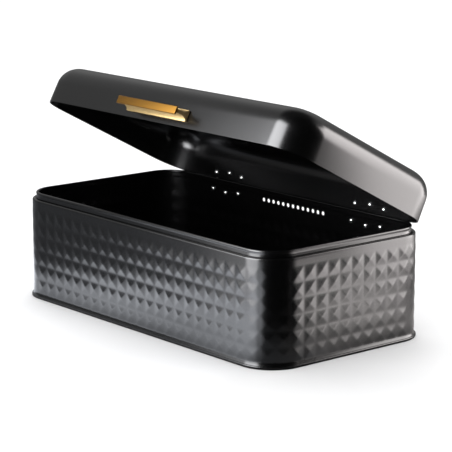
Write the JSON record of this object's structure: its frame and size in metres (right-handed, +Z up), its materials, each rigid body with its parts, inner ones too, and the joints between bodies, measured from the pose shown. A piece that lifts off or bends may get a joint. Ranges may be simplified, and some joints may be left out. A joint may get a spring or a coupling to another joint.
{
  "type": "bread bin",
  "caption": "Rectangular pressed-steel bread bin with rounded corners, embossed wall, vent holes, and a one-piece hinged lid with a slim bar handle.",
  "frame": {"origin": "on the ground, at the middle of the box around the whole object as it rests with its lid raised", "axes": "+X along the width, -Y towards the front with the handle, +Y towards the hinges, +Z up"},
  "size_m": [0.4248, 0.2374, 0.2515],
  "materials": {
    "enamel": "smooth satin black enamel on pressed steel",
    "brass": "brushed along its length, lacquered, warm gold",
    "steel": "bright plated steel"
  },
  "bodies": {
    "bin": {"bin_wall": "enamel", "base_plate": "enamel", "hinge_left_bin_leaf": "steel", "hinge_left_pin": "steel", "hinge_right_bin_leaf": "steel", "hinge_right_pin": "steel", "rivet_left_bin_left": "steel", "rivet_left_bin_middle": "steel", "rivet_left_bin_right": "steel", "rivet_right_bin_left": "steel", "rivet_right_bin_middle": "steel", "rivet_right_bin_right": "steel"},
    "lid": {"lid_shell": "enamel", "handle": "brass", "handle_screw_left": "steel", "handle_screw_right": "steel", "hinge_left_lid_leaf": "steel", "hinge_right_lid_leaf": "steel", "rivet_left_lid_left": "steel", "rivet_left_lid_middle": "steel", "rivet_left_lid_right": "steel", "rivet_right_lid_left": "steel", "rivet_right_lid_middle": "steel", "rivet_right_lid_right": "steel"}
  },
  "joints": [
    {"name": "lid_hinge", "type": "hinge", "parent": "bin", "child": "lid", "pos_m": [0, 0.11018, 0.1112], "axis": [-1, 0, 0], "range_deg": [-27.9, 72.1]}
  ]
}
